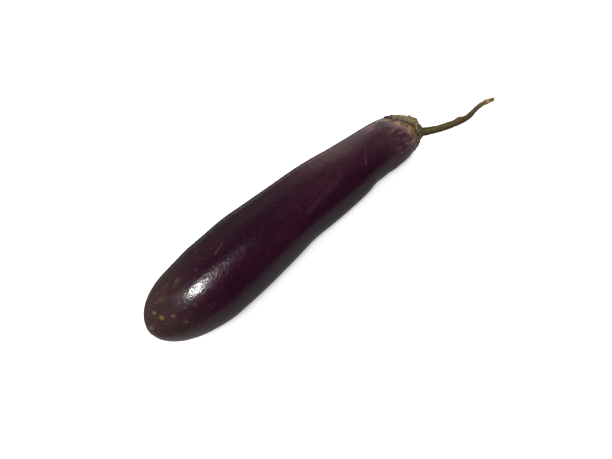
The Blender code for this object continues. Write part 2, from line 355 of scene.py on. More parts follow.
class StemSettings(bpy.types.PropertyGroup):
    """What a user may change on the stem."""

    olive: tint("Olive", "Most of the stem", (0.100, 0.067, 0.018))
    bark: tint("Bark", "Greyer raised ridges", (0.120, 0.081, 0.036))
    torn: tint("Torn wood", "Where the stem tore off", (0.42, 0.28, 0.09))
    ridge_height: FloatProperty(
        name="Ridge height", description="Height of the lengthwise ridges", default=0.00016, min=0.0,
        max=0.001, unit="LENGTH",
    )


class StageSettings(bpy.types.PropertyGroup):
    """What a user may change on the stage."""

    floor: tint("Floor", "Colour of the floor", (0.92, 0.92, 0.915))
    sky: FloatProperty(name="Sky", description="Strength of the even light", default=0.62, min=0.0)
    key_power: FloatProperty(
        name="Key light", description="Power of the main lamp", default=7.6, min=0.0, unit="POWER"
    )
    lens: FloatProperty(
        name="Focal length", description="The camera's focal length in millimetres", default=27.0, min=1.0
    )


# ---------------------------------------------------------------- curves and directions


def spline(spots, values, at):
    """Natural cubic curve through values at spots, read at the places in at."""
    spots, values, at = (np.asarray(given, float) for given in (spots, values, at))
    rows = values.reshape(len(spots), -1)
    step = np.diff(spots)
    slope = np.diff(rows, axis=0) / step[:, None]
    system = np.eye(len(spots))
    turning = np.zeros_like(rows)
    for i in range(1, len(spots) - 1):
        system[i, i - 1 : i + 2] = (step[i - 1], 2 * (step[i - 1] + step[i]), step[i])
        turning[i] = 6 * (slope[i] - slope[i - 1])
    bends = np.linalg.solve(system, turning)
    left = np.clip(np.searchsorted(spots, at) - 1, 0, len(spots) - 2)
    width = step[left][..., None]
    share = (at - spots[left])[..., None] / width
    rest = 1 - share
    straight = rest * rows[left] + share * rows[left + 1]
    bent = (rest**3 - rest) * bends[left] + (share**3 - share) * bends[left + 1]
    return (straight + bent * width**2 / 6).reshape(at.shape + values.shape[1:])


def unit(vectors):
    """The same directions, one long."""
    return vectors / np.linalg.norm(vectors, axis=-1, keepdims=True)


def eased(value, low, high):
    """0 below low, 1 above high, and a smooth step 3t^2 - 2t^3 between."""
    share = np.clip((value - low) / (high - low), 0.0, 1.0)
    return share * share * (3 - 2 * share)


def turned(angles, middle):
    """How far angles, in radians, are from a middle in degrees, in degrees from -180 to 180."""
    return (np.degrees(angles) - middle + 180) % 360 - 180


def across(forward):
    """The level sideways and the upward directions square to forward directions."""
    sideways = unit(np.cross((0.0, 0.0, 1.0), forward))
    return sideways, np.cross(forward, sideways)


def outward(sideways, upward, angles):
    """Directions at angles that start sideways and turn over the top."""
    return np.cos(angles) * sideways + np.sin(angles) * upward


def turn(sides):
    """Evenly spaced angles all the way round."""
    return np.arange(sides) * 2 * math.pi / sides


def ripple(places, length, seed):
    """Even unevenness of about unit height: the sum of WAVES plane waves cos(k.p + phase), with
    directions all round and wave lengths near the one given."""
    draw = np.random.default_rng(seed)
    heading = unit(draw.normal(size=(WAVES, 3)))
    pitch = 2 * math.pi / (length * draw.uniform(0.7, 1.4, WAVES))
    phase = draw.uniform(0, 2 * math.pi, WAVES)
    return np.cos(places @ (heading * pitch[:, None]).T + phase).sum(-1) / math.sqrt(WAVES / 2)


def waves(angles, rows):
    """Cosine waves round a piece, added up. Each row says how many go round, their phase and
    their height."""
    return sum(height * np.cos(count * angles + phase) for count, phase, height in rows)


def line_and_heading(line_spots, points, at):
    """Points on a smooth line through the given ones, and which way it heads there."""
    behind, here, ahead = (
        spline(line_spots, points, at + offset) for offset in (-SMALL_STEP, 0.0, SMALL_STEP)
    )
    return here, unit(ahead - behind)


# ---------------------------------------------------------------- the fruit's surface


def centre_frame(spots):
    """The fruit's centre line at spots, with its forward, sideways and upward directions."""
    line, forward = line_and_heading(CENTRE_SPOTS, CENTRE_LINE, spots)
    return (line, forward, *across(forward))


def rounding(inward, share, squareness):
    """A superellipse's height from 0 at an end to 1 where the rounded share stops."""
    left = np.clip(1 - inward / share, 0, 1)
    return (1 - left**squareness) ** (1 / squareness)


def fruit_radius(spots):
    """The fruit's radius at spots: a smooth taper with both ends rounded off."""
    taper = spline(RADIUS_SPOTS, RADII, spots)
    return taper * rounding(spots, *BLOSSOM_ROUND) * rounding(1 - spots, *CROWN_ROUND)


def walk_table():
    """Spots, and the distance along the skin from the blossom pole to each."""
    spots = 0.5 - 0.5 * np.cos(math.pi * np.linspace(0, 1, SURFACE_SAMPLES))
    along = np.linalg.norm(np.diff(centre_frame(spots)[0], axis=0), axis=1)
    steps = np.hypot(along, np.diff(fruit_radius(spots)))
    return spots, np.concatenate(([0.0], np.cumsum(steps)))


WALK_SPOTS, WALKED = walk_table()
SKIN_LENGTH = WALKED[-1]


def grown_places(spots, angles):
    """Places on the fruit as if it had grown straight: distance along the skin from the blossom
    pole, and the radius times the cosine and sine of the angle. Patterns read them."""
    walked = np.interp(spots, WALK_SPOTS, WALKED)
    radius = fruit_radius(spots)
    parts = (walked + 0 * angles, radius * np.cos(angles), radius * np.sin(angles))
    return np.stack(np.broadcast_arrays(*parts), -1)


def fruit_offset(spots, angles, unevenness):
    """How far the grown skin stands off the plain round body: bell-shaped lumps, an even swell
    of four sizes, ribs that run down from the crown, and the ring and pit of the blossom scar."""
    grown = grown_places(spots, angles)
    offset = np.zeros(grown.shape[:-1])
    for spot, angle, length, width, height in LUMPS:
        bell = ((spots - spot) / length) ** 2 + (turned(angles, angle) / width) ** 2
        offset = offset + height * np.exp(-bell)
    for length, height, seed in SWELL:
        offset = offset + unevenness * height * ripple(grown, length, seed)
    from_crown = SKIN_LENGTH - grown[..., 0]
    fade = np.exp(-((from_crown / SHOULDER_RIB_FADE) ** 2))
    offset = offset + SHOULDER_RIB_HEIGHT * waves(angles, SHOULDER_WAVES) * fade
    ring, ring_width, ring_height = SCAR_RING
    pit_width, pit_depth = SCAR_PIT
    offset = offset * eased(np.minimum(grown[..., 0], from_crown), 0.0, POLE_EASE)
    lip = ring_height * np.exp(-(((grown[..., 0] - ring) / ring_width) ** 2))
    return offset, lip - pit_depth * np.exp(-((grown[..., 0] / pit_width) ** 2))


def fruit_surface(spots, angles, lift=0.0, unevenness=1.0):
    """Points on the skin, or at a lift off it: centre line + (radius + offset) * direction, and
    the scar's own rise and fall along the centre line where the body closes."""
    line, forward, sideways, upward = (part[..., None, :] for part in centre_frame(spots[:, 0]))
    away = outward(sideways, upward, angles[..., None])
    offset, scar = fruit_offset(spots, angles, unevenness)
    radius = fruit_radius(spots) + offset
    normal = skin_normal(spots, away, forward)
    return line + away * radius[..., None] + normal * (scar + lift)[..., None]


def skin_normal(spots, away, forward):
    """The plain body's normal: square to its profile, so it leans back by how fast it widens."""
    radius = fruit_radius(WALK_SPOTS)
    widening = np.gradient(radius, WALKED)
    rise = np.clip(np.interp(spots, WALK_SPOTS, widening), -0.9995, 0.9995)[..., None]
    return away * np.sqrt(1 - rise**2) - forward * rise


def frame_shift():
    """From the construction's own place to the frame, so that the plain body fills the CAD's box."""
    spots = np.interp(np.linspace(0, SKIN_LENGTH, BOX_RINGS), WALKED, WALK_SPOTS)[:, None]
    line, _, sideways, upward = (part[:, None, :] for part in centre_frame(spots[:, 0]))
    away = outward(sideways, upward, turn(FRUIT_SIDES)[None, :, None])
    body = (line + away * fruit_radius(spots)[..., None]).reshape(-1, 3)
    low, high = (np.array(corner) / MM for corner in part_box("fruit"))
    shift = (low + high) / 2 - (body.min(0) + body.max(0)) / 2
    shift[2] = high[2] - body[:, 2].max()
    return shift


SHIFT = frame_shift()


# ---------------------------------------------------------------- meshes


def closed_faces(rings, sides):
    """Quads between neighbouring rings, and a fan of triangles to a pole at each end."""
    grid = np.arange(rings * sides).reshape(rings, sides)
    after = np.roll(grid, -1, axis=1)
    quads = np.stack((grid[:-1], after[:-1], after[1:], grid[1:]), -1).reshape(-1, 4)
    first, last = (np.full(sides, rings * sides + i) for i in (0, 1))
    start = np.stack((after[0], grid[0], first), -1)
    end = np.stack((grid[-1], after[-1], last), -1)
    return quads.tolist() + start.tolist() + end.tolist()


def with_poles(grid):
    """A grid's rows one after another, and the mean of its first and of its last ring."""
    flat = grid.reshape(-1, *grid.shape[2:])
    return np.concatenate((flat, grid[:1].mean(1), grid[-1:].mean(1)))


def add_piece(name, rings, readings, material, node):
    """One closed, smooth mesh from a grid of points in millimetres. Its readings are grids of
    values or vectors for its material. It stands for a CAD node."""
    data = bpy.data.meshes.new(name)
    points = (with_poles(rings) + SHIFT) * MM
    data.from_pydata(points.tolist(), [], closed_faces(*rings.shape[:2]))
    for label, values in readings.items():
        values = with_poles(values)
        kind, field = ("FLOAT_VECTOR", "vector") if values.ndim == 2 else ("FLOAT", "value")
        data.attributes.new(label, kind, "POINT").data.foreach_set(field, values.ravel())
    data.shade_smooth()
    data.materials.append(material)
    piece = bpy.data.objects.new(name, data)
    bpy.context.scene.collection.objects.link(piece)
    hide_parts(node)
    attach(piece, "root")
    return piece


# ---------------------------------------------------------------- shader expressions


class Term:
    """A value in a material. Sums, differences and products of terms and numbers add Math nodes."""

    def __init__(self, shade, socket):
        self.shade = shade
        self.socket = socket

    def __add__(self, other):
        return self.shade.math("ADD", self, other)

    def __sub__(self, other):
        return self.shade.math("SUBTRACT", self, other)

    def __rsub__(self, other):
        return self.shade.math("SUBTRACT", other, self)

    def __mul__(self, other):
        return self.shade.math("MULTIPLY", self, other)

    __radd__ = __add__
    __rmul__ = __mul__

    def greater_of(self, other):
        """The larger of two values."""
        return self.shade.math("MAXIMUM", self, other)

    def clear(self):
        """The value kept between 0 and 1."""
        return self.shade.math("MINIMUM", self.shade.math("MAXIMUM", self, 0.0), 1.0)

    def rise(self, low, high):
        """0 at low, 1 at high, and smooth between. Low may be the higher number."""
        links = {"Value": self, "From Min": low, "From Max": high}
        return self.shade.node("ShaderNodeMapRange", links, interpolation_type="SMOOTHSTEP")


class Shade:
    """One material, and the nodes that expressions add to it."""

    def __init__(self, tree):
        self.tree = tree

    def feed(self, socket, value):
        """A link for a term, and the socket's own value for a number or a colour."""
        if isinstance(value, Term):
            self.tree.links.new(value.socket, socket)
        elif socket.type == "RGBA":
            socket.default_value = (*value, 1.0)
        else:
            socket.default_value = value

    def node(self, kind, links, output=0, **settings):
        """Any node: its settings first, then its sockets, and one of its outputs as a term."""
        node = self.tree.nodes.new(kind)
        for name, value in settings.items():
            setattr(node, name, value)
        for name, value in links.items():
            self.feed(node.inputs[name], value)
        return Term(self, node.outputs[output])

    def math(self, operation, *values):
        """A Math node on terms and numbers."""
        return self.node("ShaderNodeMath", dict(enumerate(values)), operation=operation)

    def vector(self, operation, *values, output=0):
        """A Vector Math node. Output 0 is a vector, and 1 a number."""
        return self.node("ShaderNodeVectorMath", dict(enumerate(values)), output, operation=operation)

    def mix(self, share, first, second, blend="MIX"):
        """From the first colour to the second as the share goes from 0 to 1."""
        links = {0: share, 6: first, 7: second}
        return self.node("ShaderNodeMix", links, 2, data_type="RGBA", blend_type=blend)

    def over(self, colour, layers):
        """A colour with tints laid over it in turn, each by its own share."""
        for share, laid in layers:
            colour = self.mix(share, colour, laid)
        return colour

    def grey(self, value):
        """A grey of a value."""
        return self.node("ShaderNodeCombineColor", {0: value, 1: value, 2: value})

    def toward(self, places, way):
        """How far places lie out along a direction."""
        return self.vector("DOT_PRODUCT", places, way, output=1)

    def reading(self, label, output=1):
        """What the mesh holds under a name: 1 gives a vector, 2 a value."""
        return self.node("ShaderNodeAttribute", {}, output, attribute_name=label)

    def noise(self, places, stretch, detail=3.0, roughness=0.55, distortion=0.0):
        """Cloudy noise from 0 to 1, over places multiplied by a stretch along each axis."""
        scaled = self.vector("MULTIPLY", places, stretch)
        links = {"Vector": scaled, "Scale": 1.0, "Detail": detail, "Roughness": roughness}
        return self.node("ShaderNodeTexNoise", {**links, "Distortion": distortion})

    def bump(self, height, distance, strength, normal=None):
        """A normal that follows a height in units of the distance, which is in metres."""
        links = {"Height": height, "Distance": distance, "Strength": strength}
        if normal is not None:
            links["Normal"] = normal
        return self.node("ShaderNodeBump", links)


def new_material(name):
    """An empty material, the shade that fills it, and a function that sets its one shader."""
    material = bpy.data.materials.new(name)
    material.use_nodes = True
    shade = Shade(material.node_tree)
    shader = material.node_tree.nodes["Principled BSDF"]

    def finish(**values):
        """Feed the shader's sockets, which are named with an underscore for each space."""
        for socket, value in values.items():
            shade.feed(shader.inputs[socket.replace("_", " ")], value)

    return material, shade, finish


# ---------------------------------------------------------------- the skin's material


def grown_place(distance, angle):
    """The straight-grown place at a distance from the blossom pole and an angle in degrees."""
    spot = np.interp(distance, WALKED, WALK_SPOTS)
    return tuple(grown_places(np.array([[spot]]), np.array([[math.radians(angle)]]))[0, 0].tolist())


def line_mask(shade, places, mark, fray):
    """A soft line between two places on the skin. The skin is taken as flat round the line's
    middle: one axis runs along the fruit and one round it. The mask falls with the distance to
    the nearest place on the line, which is its start plus the line times a share from 0 to 1."""
    first, first_angle, last, last_angle, width, strength = mark
    middle = math.radians(first_angle + last_angle) / 2
    around = (0.0, -math.sin(middle), math.cos(middle))
    ends = np.array([grown_place(first, first_angle), grown_place(last, last_angle)])
    (start, start_round), (end, end_round) = ((place[0], place @ around) for place in ends)
    line = np.array((end - start, end_round - start_round, 0.0))
    flat = {"X": shade.toward(places, (1.0, 0.0, 0.0)), "Y": shade.toward(places, around)}
    spread = shade.node("ShaderNodeCombineXYZ", flat)
    relative = shade.vector("SUBTRACT", spread, (start, start_round, 0.0))
    share = shade.toward(relative, tuple(line / (line @ line))).clear()
    nearest = shade.node("ShaderNodeVectorMath", {0: tuple(line), "Scale": share}, operation="SCALE")
    off = shade.vector("DISTANCE", relative, nearest, output=1) + fray * width
    facing = shade.toward(places, (0.0, math.cos(middle), math.sin(middle)))
    return off.rise(width * 1.15, 0.0) * facing.rise(0.0, 4.0) * strength


def marks_mask(shade, places, marks, fray):
    """The strongest of several marks."""
    masks = [line_mask(shade, places, mark, fray) for mark in marks]
    return functools.reduce(Term.greater_of, masks)


def skin_patterns(shade):
    """What the skin's colours read: its readings, and noises from broad clouds to fine grain."""
    grown = shade.reading("grown")
    return SimpleNamespace(
        grown=grown,
        beyond=shade.reading("beyond", 2),
        pale=shade.reading("pale", 2),
        along=shade.node("ShaderNodeSeparateXYZ", {"Vector": grown}),
        cloud=shade.noise(grown, (0.05, 0.13, 0.13), 4.0, 0.6),
        streak=shade.noise(grown, (0.035, 0.9, 0.9), 3.0, 0.6),
        mottle=shade.noise(grown, (0.16, 0.34, 0.34), 3.0, 0.6),
        grain=shade.noise(grown, (0.55, 0.75, 0.75), 3.0, 0.6),
    )


def skin_material(look):
    """Dark purple wax: redder and bluer stretches, fine lengthwise streaks, pale pores, green
    and cork freckles at the blossom end, scratches, and pale skin round the calyx."""
    material, shade, finish = new_material("eggplant_skin")
    skin = skin_patterns(shade)
    light = 0.16 + skin.cloud * 0.52 + skin.mottle * 0.50 + skin.streak * 0.24 + skin.grain * 0.36
    colour = shade.mix(1.0, skin_stretches(shade, look, skin), shade.grey(light), "MULTIPLY")
    pores = pore_mask(shade, skin.grown, skin.along)
    colour = shade.mix(pores, colour, PORE)
    colour = skin_marks(shade, look, skin, colour)
    colour = shoulder_colours(shade, look, skin, colour)

    haze = shade.noise(skin.grown, (0.25, 0.5, 0.5), 4.0, 0.7)
    dull = pores * 0.3 + skin.beyond.rise(30.0, 2.0) * 0.20 + skin.along.rise(40.0, 5.0) * 0.06
    roughness = look.roughness - 0.04 + haze * 0.09 + dull
    pebbles = shade.noise(skin.grown, (0.38, 0.60, 0.60), 2.0, 0.5)
    fine = shade.bump(skin.grain, 0.00012, 0.8)
    uneven = shade.bump(pebbles, 0.0003, 0.55, fine)
    lengthwise = shade.bump(skin.streak, 0.00012, 0.30, uneven)
    finish(Base_Color=colour, Roughness=roughness, Normal=lengthwise, Specular_IOR_Level=0.42)
    return material


def skin_stretches(shade, look, skin):
    """The broad colours: warm and violet stretches, painted shade on the far side, a browner tip with
    painted light on its side towards the key lamp, painted light over the upper half and a painted sheen
    along the far edge towards the crown, reddish flecks, and a greyer shoulder."""
    broad = shade.noise(skin.grown, (0.011, 0.045, 0.045), 3.0)
    patch = shade.noise(skin.grown, (0.016, 0.050, 0.050), 2.0, distortion=0.4)
    belly = skin.along.rise(SKIN_LENGTH - 125.0, SKIN_LENGTH - 165.0)
    # Painted shade: the far side of the blossom half darker.
    painted_far_shade = shade.toward(skin.grown, FAR_WAY).rise(12.0, 27.0) * belly
    # Painted light: the tip is paler still on the side facing the key lamp; the rest of its browner tone
    # is its own.
    key_lit_side = shade.toward(skin.grown, FRONT_WAY).rise(0.0, 22.0)
    near_tip = skin.along.rise(72.0, 8.0) * (0.44 + skin.cloud * 0.7 + key_lit_side * 0.30)
    # Painted light: the upper half paler towards the crown, as if lit from above and behind.
    waist = skin.along.rise(SKIN_LENGTH - 150.0, SKIN_LENGTH - 70.0)
    upper = waist * shade.toward(skin.grown, UPPER_WAY).rise(2.0, 22.0) * (0.45 + skin.mottle * 0.8)
    # Painted sheen: a paler band along the far edge towards the crown.
    neck = skin.along.rise(SKIN_LENGTH - 115.0, SKIN_LENGTH - 75.0)
    edge = shade.toward(skin.grown, EDGE_WAY).rise(19.0, 23.5) * neck * (0.4 + skin.mottle)
    flecks = skin.mottle.rise(0.58, 0.72) * skin.grain.rise(0.40, 0.60)
    near_crown = skin.along.rise(SKIN_LENGTH - 66.0, SKIN_LENGTH - 14.0) * (0.50 + skin.cloud * 0.7)
    layers = (
        (patch.rise(0.46, 0.68) * 0.65, look.violet),
        (painted_far_shade * 0.60, FAR_SIDE_PAINTED_SHADE),
        (near_tip * 0.85, TIP_TONE_AND_PAINTED_LIGHT),
        (upper * 0.47, UPPER_PAINTED_LIGHT),
        (edge * 0.40, FAR_EDGE_PAINTED_SHEEN),
        (flecks * 0.22, RED_FLECK),
        (near_crown * 0.90, CROWN_SKIN),
    )
    return shade.over(shade.mix(broad.rise(0.38, 0.66), look.deep, look.warm), layers)


def skin_marks(shade, look, skin, colour):
    """Green, cork and olive freckles, with one painted sheen among the cork ones, a greenish haze at the
    tip, and scratches.
    """
    fray = (skin.grain - 0.5) * 1.3 + (skin.mottle - 0.5) * 1.3
    tip_haze = skin.along.rise(14.0, 2.0) * skin.cloud.rise(0.40, 0.62)
    layers = (
        (marks_mask(shade, skin.grown, MARKS["lime"], fray), look.lime),
        (marks_mask(shade, skin.grown, MARKS["tan"], fray), look.tan),
        (marks_mask(shade, skin.grown, MARKS["olive"], fray), OLIVE_MARK),
        (tip_haze * 0.45, look.lime),
        (marks_mask(shade, skin.grown, SCRATCHES, (skin.grain - 0.5) * 0.8), SCRATCHED),
    )
    return shade.over(colour, layers)


def pore_mask(shade, grown, along):
    """Faint pale flecks, longer than wide: cells of a crossed mesh of points, only here and
    there, and more of them towards both ends."""
    stretched = shade.vector("MULTIPLY", grown, (0.24, 0.42, 0.42))
    links = {"Vector": stretched, "Scale": 1.0, "Randomness": 1.0}
    cell = shade.node("ShaderNodeTexVoronoi", links, "Distance")
    chance = shade.node("ShaderNodeTexVoronoi", links, "Color")
    pick = shade.node("ShaderNodeSeparateColor", {"Color": chance})
    ends = along.rise(85.0, 20.0) * 0.26 + along.rise(SKIN_LENGTH - 50.0, SKIN_LENGTH - 18.0) * 0.40
    crowd = shade.noise(grown, (0.03, 0.06, 0.06), 2.0).rise(0.42, 0.70) * 0.07 + ends
    return cell.rise(0.40, 0.05) * (crowd - pick + 0.1).rise(0.0, 0.12) * (0.25 + ends)


def shoulder_colours(shade, look, skin, colour):
    """Round the calyx: pinkish flecks that fan out from it, pale skin next to it, and cork."""
    comb = shade.noise(skin.grown, (0.10, 0.60, 0.60), 4.0, 0.65)
    ragged = skin.beyond + (comb - 0.5) * 11.0 + (skin.cloud - 0.5) * 7.0
    pink_rays = comb.rise(0.50, 0.58) * skin.beyond.rise(30.0, 4.0) * skin.cloud.rise(0.30, 0.55)
    dark_rays = comb.rise(0.47, 0.40) * skin.beyond.rise(26.0, 4.0)
    streaks = shade.noise(skin.grown, (0.16, 0.35, 0.35), 3.0).rise(0.52, 0.64)
    layers = [
        (pink_rays * 0.90, PINK_RAY),
        (dark_rays * 0.70, DARK_RAY),
        (ragged.rise(8.5, 5.0) * skin.pale * 0.88, look.shaded),
        (streaks * ragged.rise(6.5, 3.0) * skin.pale * 0.70, BROWN_STREAK),
    ]
    fray = (comb - 0.5) * 1.6 + (skin.cloud - 0.5) * 1.0
    for rows, laid, edge in (
        (BLUSH, BLUSH_PINK, fray), (SHOULDER_SCARS, SCAR_CORK, fray), (SCAR_CORES, SCAR_CORE, 0.0)
    ):
        marks = [(SKIN_LENGTH - row[0], row[1], SKIN_LENGTH - row[2], *row[3:]) for row in rows]
        layers.append((marks_mask(shade, skin.grown, marks, edge), laid))
    return shade.over(colour, layers)


# ---------------------------------------------------------------- the fruit


def build_fruit(look):
    """The skin over even steps of the cosine-spaced run, flat where it lies on the floor."""
    inner = (np.arange(FRUIT_RINGS) + 1) / (FRUIT_RINGS + 1)
    spots = (0.5 - 0.5 * np.cos(math.pi * inner))[:, None]
    angles = turn(FRUIT_SIDES)[None, :]
    rings = fruit_surface(spots, angles, np.zeros((1, 1)), look.unevenness)
    height = rings[..., 2] + SHIFT[2]
    rings[..., 2] = 0.5 * (height + np.sqrt(height**2 + REST_BLEND**2)) - SHIFT[2]
    grown = grown_places(spots, angles)
    beyond = SKIN_LENGTH - grown[..., 0] - calyx_reach(angles)
    pale = [eased(np.abs(turned(angles, middle)), end, full) for middle, end, full in PALE_SPANS]
    readings = {"grown": grown, "beyond": beyond, "pale": np.maximum(*pale) + 0 * beyond}
    return add_piece("eggplant_skin", rings, readings, skin_material(look), "fruit")


# ---------------------------------------------------------------- the calyx


def lobe_share(angles, middle, half_width, squareness=2.0):
    """1 in the middle of a lobe, falling to 0 at its edges."""
    return np.clip(1 - np.abs(turned(angles, middle) / half_width) ** squareness, 0, 1)


def calyx_reach(angles):
    """How far the calyx runs from the crown along the skin at each angle, with a ragged edge."""
    reach = np.full_like(angles, CAP_REACH)
    for middle, length, half_width, squareness, *_ in LOBES:
        share = lobe_share(angles, middle, half_width, squareness)
        reach = np.maximum(reach, CAP_REACH + (length - CAP_REACH) * share)
    return reach * (1 + EDGE_HEIGHT * waves(angles, EDGE_WAVES))


def calyx_pinch(angles, share):
    """Lines down a lobe draw together a little towards its tip."""
    moved = np.zeros_like(angles * share)
    for middle, _, half_width, *_ in LOBES[:TRUE_LOBES]:
        pinch = PINCH * lobe_share(angles, middle, half_width) ** 0.5 * share**1.5
        moved = moved - np.radians(turned(angles, middle)) * pinch
    return angles + moved


def ribs(distance, angles):
    """The ribs' height in millimetres: each a bell across, eased in and out along its run."""
    height = np.zeros_like(angles * distance)
    for middle, width, rise, start, end in RIBS:
        bell = np.exp(-((turned(angles, middle) / width) ** 2))
        run = eased(distance, start - 2.0, start + 2.0) * eased(distance, end, end - 6.0)
        height = height + rise * bell * run
    return height


def calyx_thickness(distance, angles, share):
    """Thick and fleshy near the collar behind a plump lobe, thin at the rim."""
    plump = np.zeros_like(angles)
    for middle, _, half_width, _, amount, _ in LOBES:
        plump = np.maximum(plump, amount * lobe_share(angles, middle, FLESH_WIDTH * half_width))
    near = np.exp(-(((distance - FLESH_MIDDLE) / FLESH_SPREAD) ** 2))
    full = LEAF_THICKNESS + PLUMP_THICKNESS * plump + FLESH_THICKNESS * plump * near
    return full + (RIM_THICKNESS - full) * eased(share, 0.82, 1.0)


def calyx_lift(distance, angles, share):
    """How far the cap stands off the skin: lobe tips curl up as they dry, and the short rim
    between the first lobes stands clear."""
    lift = np.zeros_like(angles * share)
    for middle, length, half_width, _, _, curl in LOBES[:TRUE_LOBES]:
        tip = eased(distance, 0.72 * length, length)
        lift = lift + curl * lobe_share(angles, middle, half_width) * tip
    middle, half_width, height = RIM_LIFT
    rim = height * lobe_share(angles, middle, half_width) * eased(share, 0.3, 1.0)
    flutter = FLUTTER * (1 + np.cos(9 * angles + 7 * share) * eased(share, 0.5, 1.0))
    return lift + rim + flutter


def shoulder(distance, angles, lift):
    """Points over the fruit's grown shoulder: a distance from the crown, and a height off it."""
    spots = np.interp(SKIN_LENGTH - distance, WALKED, WALK_SPOTS)
    line, forward = line_and_heading(CENTRE_SPOTS, CENTRE_LINE, spots.ravel())
    sideways, upward = across(forward)
    shape = (*spots.shape, 3)
    line, forward, sideways, upward = (part.reshape(shape) for part in (line, forward, sideways, upward))
    away = outward(sideways, upward, angles[..., None])
    radius = fruit_radius(spots) + fruit_offset(spots, angles, 1.0)[0]
    return line + away * radius[..., None] + skin_normal(spots, away, forward) * lift[..., None]


def build_calyx(look):
    """The cap in one closed sheet: out along its underside from the crown to the rim, back over
    its top to the collar, and up the collar to where the stem stands."""
    angles = turn(CALYX_SIDES)[None, :]
    shares = np.linspace(0, 1, CALYX_RINGS)[:, None]
    distance = CAP_START + (calyx_reach(angles) - CAP_START) * shares
    bent = calyx_pinch(angles, shares)
    gap = GAP + calyx_lift(distance, angles, shares)
    rib = ribs(distance, angles)
    veins = waves(angles, VEIN_WAVES)
    ridge = veins * eased(shares, 1.05, 0.7) * VEIN_SHARE + rib * 2.0 - 0.2
    body = calyx_thickness(distance, angles, shares)
    withered = tip_share(distance, angles)
    length, height, added, radius = CREASE
    place = np.stack((distance, radius * np.cos(bent), radius * np.sin(bent)), -1)
    crease = (height + added * withered) * ripple(place, length, CREASE_SEED) * eased(shares, 0.0, 0.3)
    top = shoulder(distance, bent, gap + body + rib + ridge * look.rib_height / MM + crease)
    under = shoulder(distance, bent, gap)
    middle = shoulder(np.full((1, 1), CAP_START / 2) + 0 * angles, angles, GAP + 0 * angles)

    crown, axis, sideways, upward = (part[0] for part in centre_frame(np.array([1.0])))
    radii = np.array(COLLAR_RADII)[::-1, None] * (1 + COLLAR_VEIN * veins)
    heights = np.array(COLLAR_HEIGHTS)[::-1, None, None]
    around = outward(sideways, upward, angles[..., None])
    lean_angle, lean = COLLAR_LEAN
    foot = ((radii - radii.min()) / np.ptp(radii))[..., None] * lean
    aside = outward(sideways, upward, math.radians(lean_angle))
    collar = crown + axis * heights + around * radii[..., None] + aside * foot

    rings = np.concatenate((middle, under, top[::-1], collar))
    readings = calyx_readings(angles, distance, bent, ridge, withered, len(collar))
    return add_piece("eggplant_calyx", rings, readings, calyx_material(look), "calyx")


def tip_share(distance, angles):
    """0 over most of the cap, rising to 1 at the tips of the true lobes."""
    tip = np.zeros_like(angles * distance)
    for middle, length, half_width, *_ in LOBES[:TRUE_LOBES]:
        end = eased(distance, 0.76 * length, 0.97 * length)
        tip = np.maximum(tip, lobe_share(angles, middle, half_width) ** 0.5 * end)
    return tip


def calyx_readings(angles, distance, bent, ridge, withered, collar_rings):
    """For the material: where on the cap, how dried out it is, and how high on a rib. The
    collar's place goes on below the cap's first distance, a step for each of its rings."""
    middle, half_width = FRESH_STRIP
    flank = eased(distance, 11.0, 16.0) * np.minimum(1, np.abs(turned(angles, middle)) / half_width)
    dry = 0.45 * flank + withered * 0.75
    climb = (CAP_START - 1 - np.arange(collar_rings)[:, None]) + 0 * angles

    def placed(run, turned_by):
        """Places on the cap as if it were a tube: the run, and a radius times cosine and sine."""
        parts = (run, PLACE_RADIUS * np.cos(turned_by), PLACE_RADIUS * np.sin(turned_by))
        return np.stack(np.broadcast_arrays(*parts), -1)

    def whole(sheet, ending):
        """The rings in the mesh's order: the crown's, the underside, the top and the collar."""
        return np.concatenate((sheet[:1], sheet, sheet[::-1], ending))

    return {
        "place": whole(placed(distance, bent), placed(climb, angles)),
        "dry": whole(np.clip(dry, 0, 1) - 0.3 * eased(distance, 15.0, 11.0), 0 * climb - 0.3),
        "ridge": whole(ridge, VEIN_SHARE * waves(angles, VEIN_WAVES) + 0 * climb),
    }


